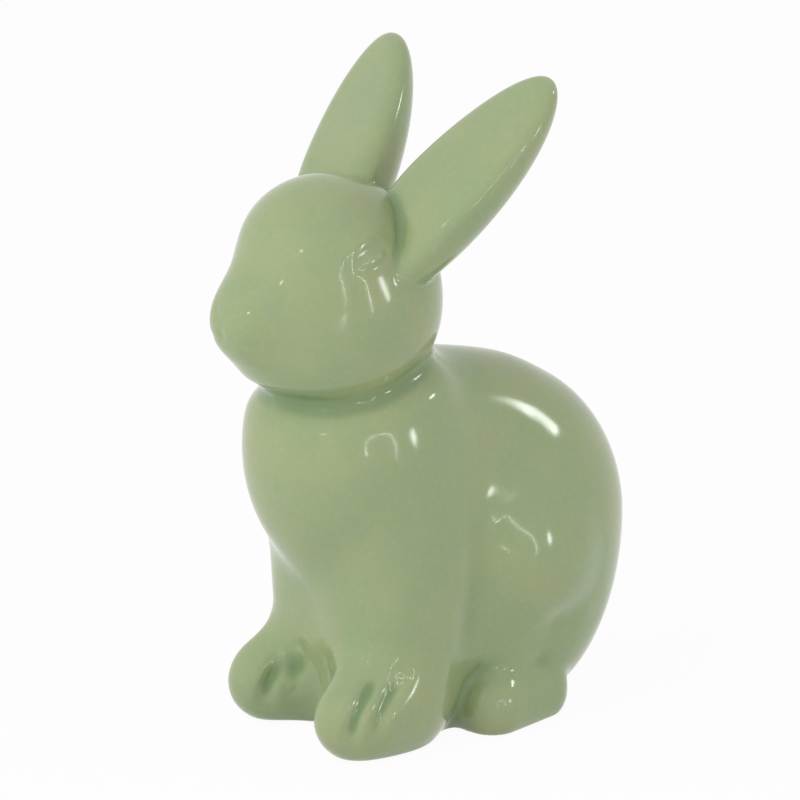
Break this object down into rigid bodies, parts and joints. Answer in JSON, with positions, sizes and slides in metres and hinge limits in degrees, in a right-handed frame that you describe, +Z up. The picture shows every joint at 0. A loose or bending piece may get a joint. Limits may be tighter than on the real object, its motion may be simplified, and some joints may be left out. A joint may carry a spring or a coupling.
{
  "type": "ceramic rabbit figurine",
  "caption": "Glazed ceramic rabbit figurine that sits up on its front paws, with upright splayed ears, a hollow body and a closing disc under its base.",
  "frame": {"origin": "middle of the ground that the figurine covers, on the surface it stands on", "axes": "+Z up along its height, the rabbit faces -Y and its own left side is +X; X = 0 is its mirror plane"},
  "size_m": [0.0742, 0.1165, 0.164],
  "materials": {
    "body_glaze": "glossy sage green glaze, slightly mottled",
    "head_glaze": "glossy sage green glaze, slightly mottled",
    "ear_glaze": "glossy sage green glaze, slightly mottled",
    "foot_glaze": "glossy sage green glaze, slightly mottled",
    "bare_clay": "matt unglazed fired clay"
  },
  "bodies": {
    "root": {"body": "body_glaze", "head": "head_glaze", "ear_left": "ear_glaze", "ear_right": "ear_glaze", "front_paw_left": "foot_glaze", "front_paw_right": "foot_glaze", "haunch_left": "body_glaze", "haunch_right": "body_glaze", "hind_foot_left": "foot_glaze", "hind_foot_right": "foot_glaze", "tail": "body_glaze", "base_disc": "bare_clay"}
  },
  "joints": []
}
